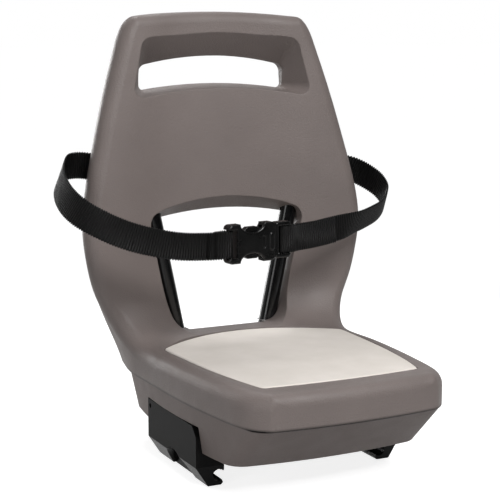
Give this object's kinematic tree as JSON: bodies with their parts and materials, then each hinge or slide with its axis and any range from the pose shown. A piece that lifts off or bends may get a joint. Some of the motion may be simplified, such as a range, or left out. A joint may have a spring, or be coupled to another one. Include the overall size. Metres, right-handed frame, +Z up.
{
  "type": "child bike seat",
  "caption": "Moulded child seat with a pad, a waist belt with a side-release buckle, and sliding clamps that grip the rods of a bicycle carrier.",
  "frame": {"origin": "on the floor under the clamps, at the middle of the seat's box", "axes": "+Z up, the child faces -Y, +X to the right as seen from the front"},
  "size_m": [0.3536, 0.2976, 0.397],
  "materials": {
    "shell_plastic": "fine moulded grain, satin",
    "base_plastic": "fine moulded grain, satin",
    "pad_foam": "soft foam with a smooth matt skin",
    "hoop_paint": "gloss black",
    "clamp_plastic": "glass-filled black, fine grain",
    "webbing": "plain woven black webbing",
    "buckle_plastic": "black, slight sheen",
    "zinc_steel": "bright zinc plating"
  },
  "bodies": {
    "seat": {"seat_shell": "shell_plastic", "base_tray": "base_plastic", "seat_pad": "pad_foam", "frame_hoop": "hoop_paint", "left_strap": "webbing", "right_strap": "webbing", "buckle_socket": "buckle_plastic", "clamp_bolts": "zinc_steel", "clamp_washers": "zinc_steel", "clamp_nuts": "zinc_steel", "shell_screws": "zinc_steel", "back_saddles": "hoop_paint", "back_saddle_screws": "zinc_steel", "base_saddles": "hoop_paint", "base_saddle_screws": "zinc_steel", "strap_plates": "zinc_steel", "strap_screws": "zinc_steel"},
    "left_clamp": {"left_clamp": "clamp_plastic"},
    "right_clamp": {"right_clamp": "clamp_plastic"},
    "buckle_plug": {"buckle_plug": "buckle_plastic"}
  },
  "joints": [
    {"name": "left_clamp_slide", "type": "slide", "parent": "seat", "child": "left_clamp", "axis": [-1, 0, 0], "range_m": [-0.008, 0.012]},
    {"name": "right_clamp_slide", "type": "slide", "parent": "seat", "child": "right_clamp", "axis": [1, 0, 0], "range_m": [-0.008, 0.012]},
    {"name": "buckle_release", "type": "slide", "parent": "seat", "child": "buckle_plug", "axis": [0.9903, 0.1392, 0], "range_m": [0, 0.042], "deforming": ["right_strap"]}
  ]
}
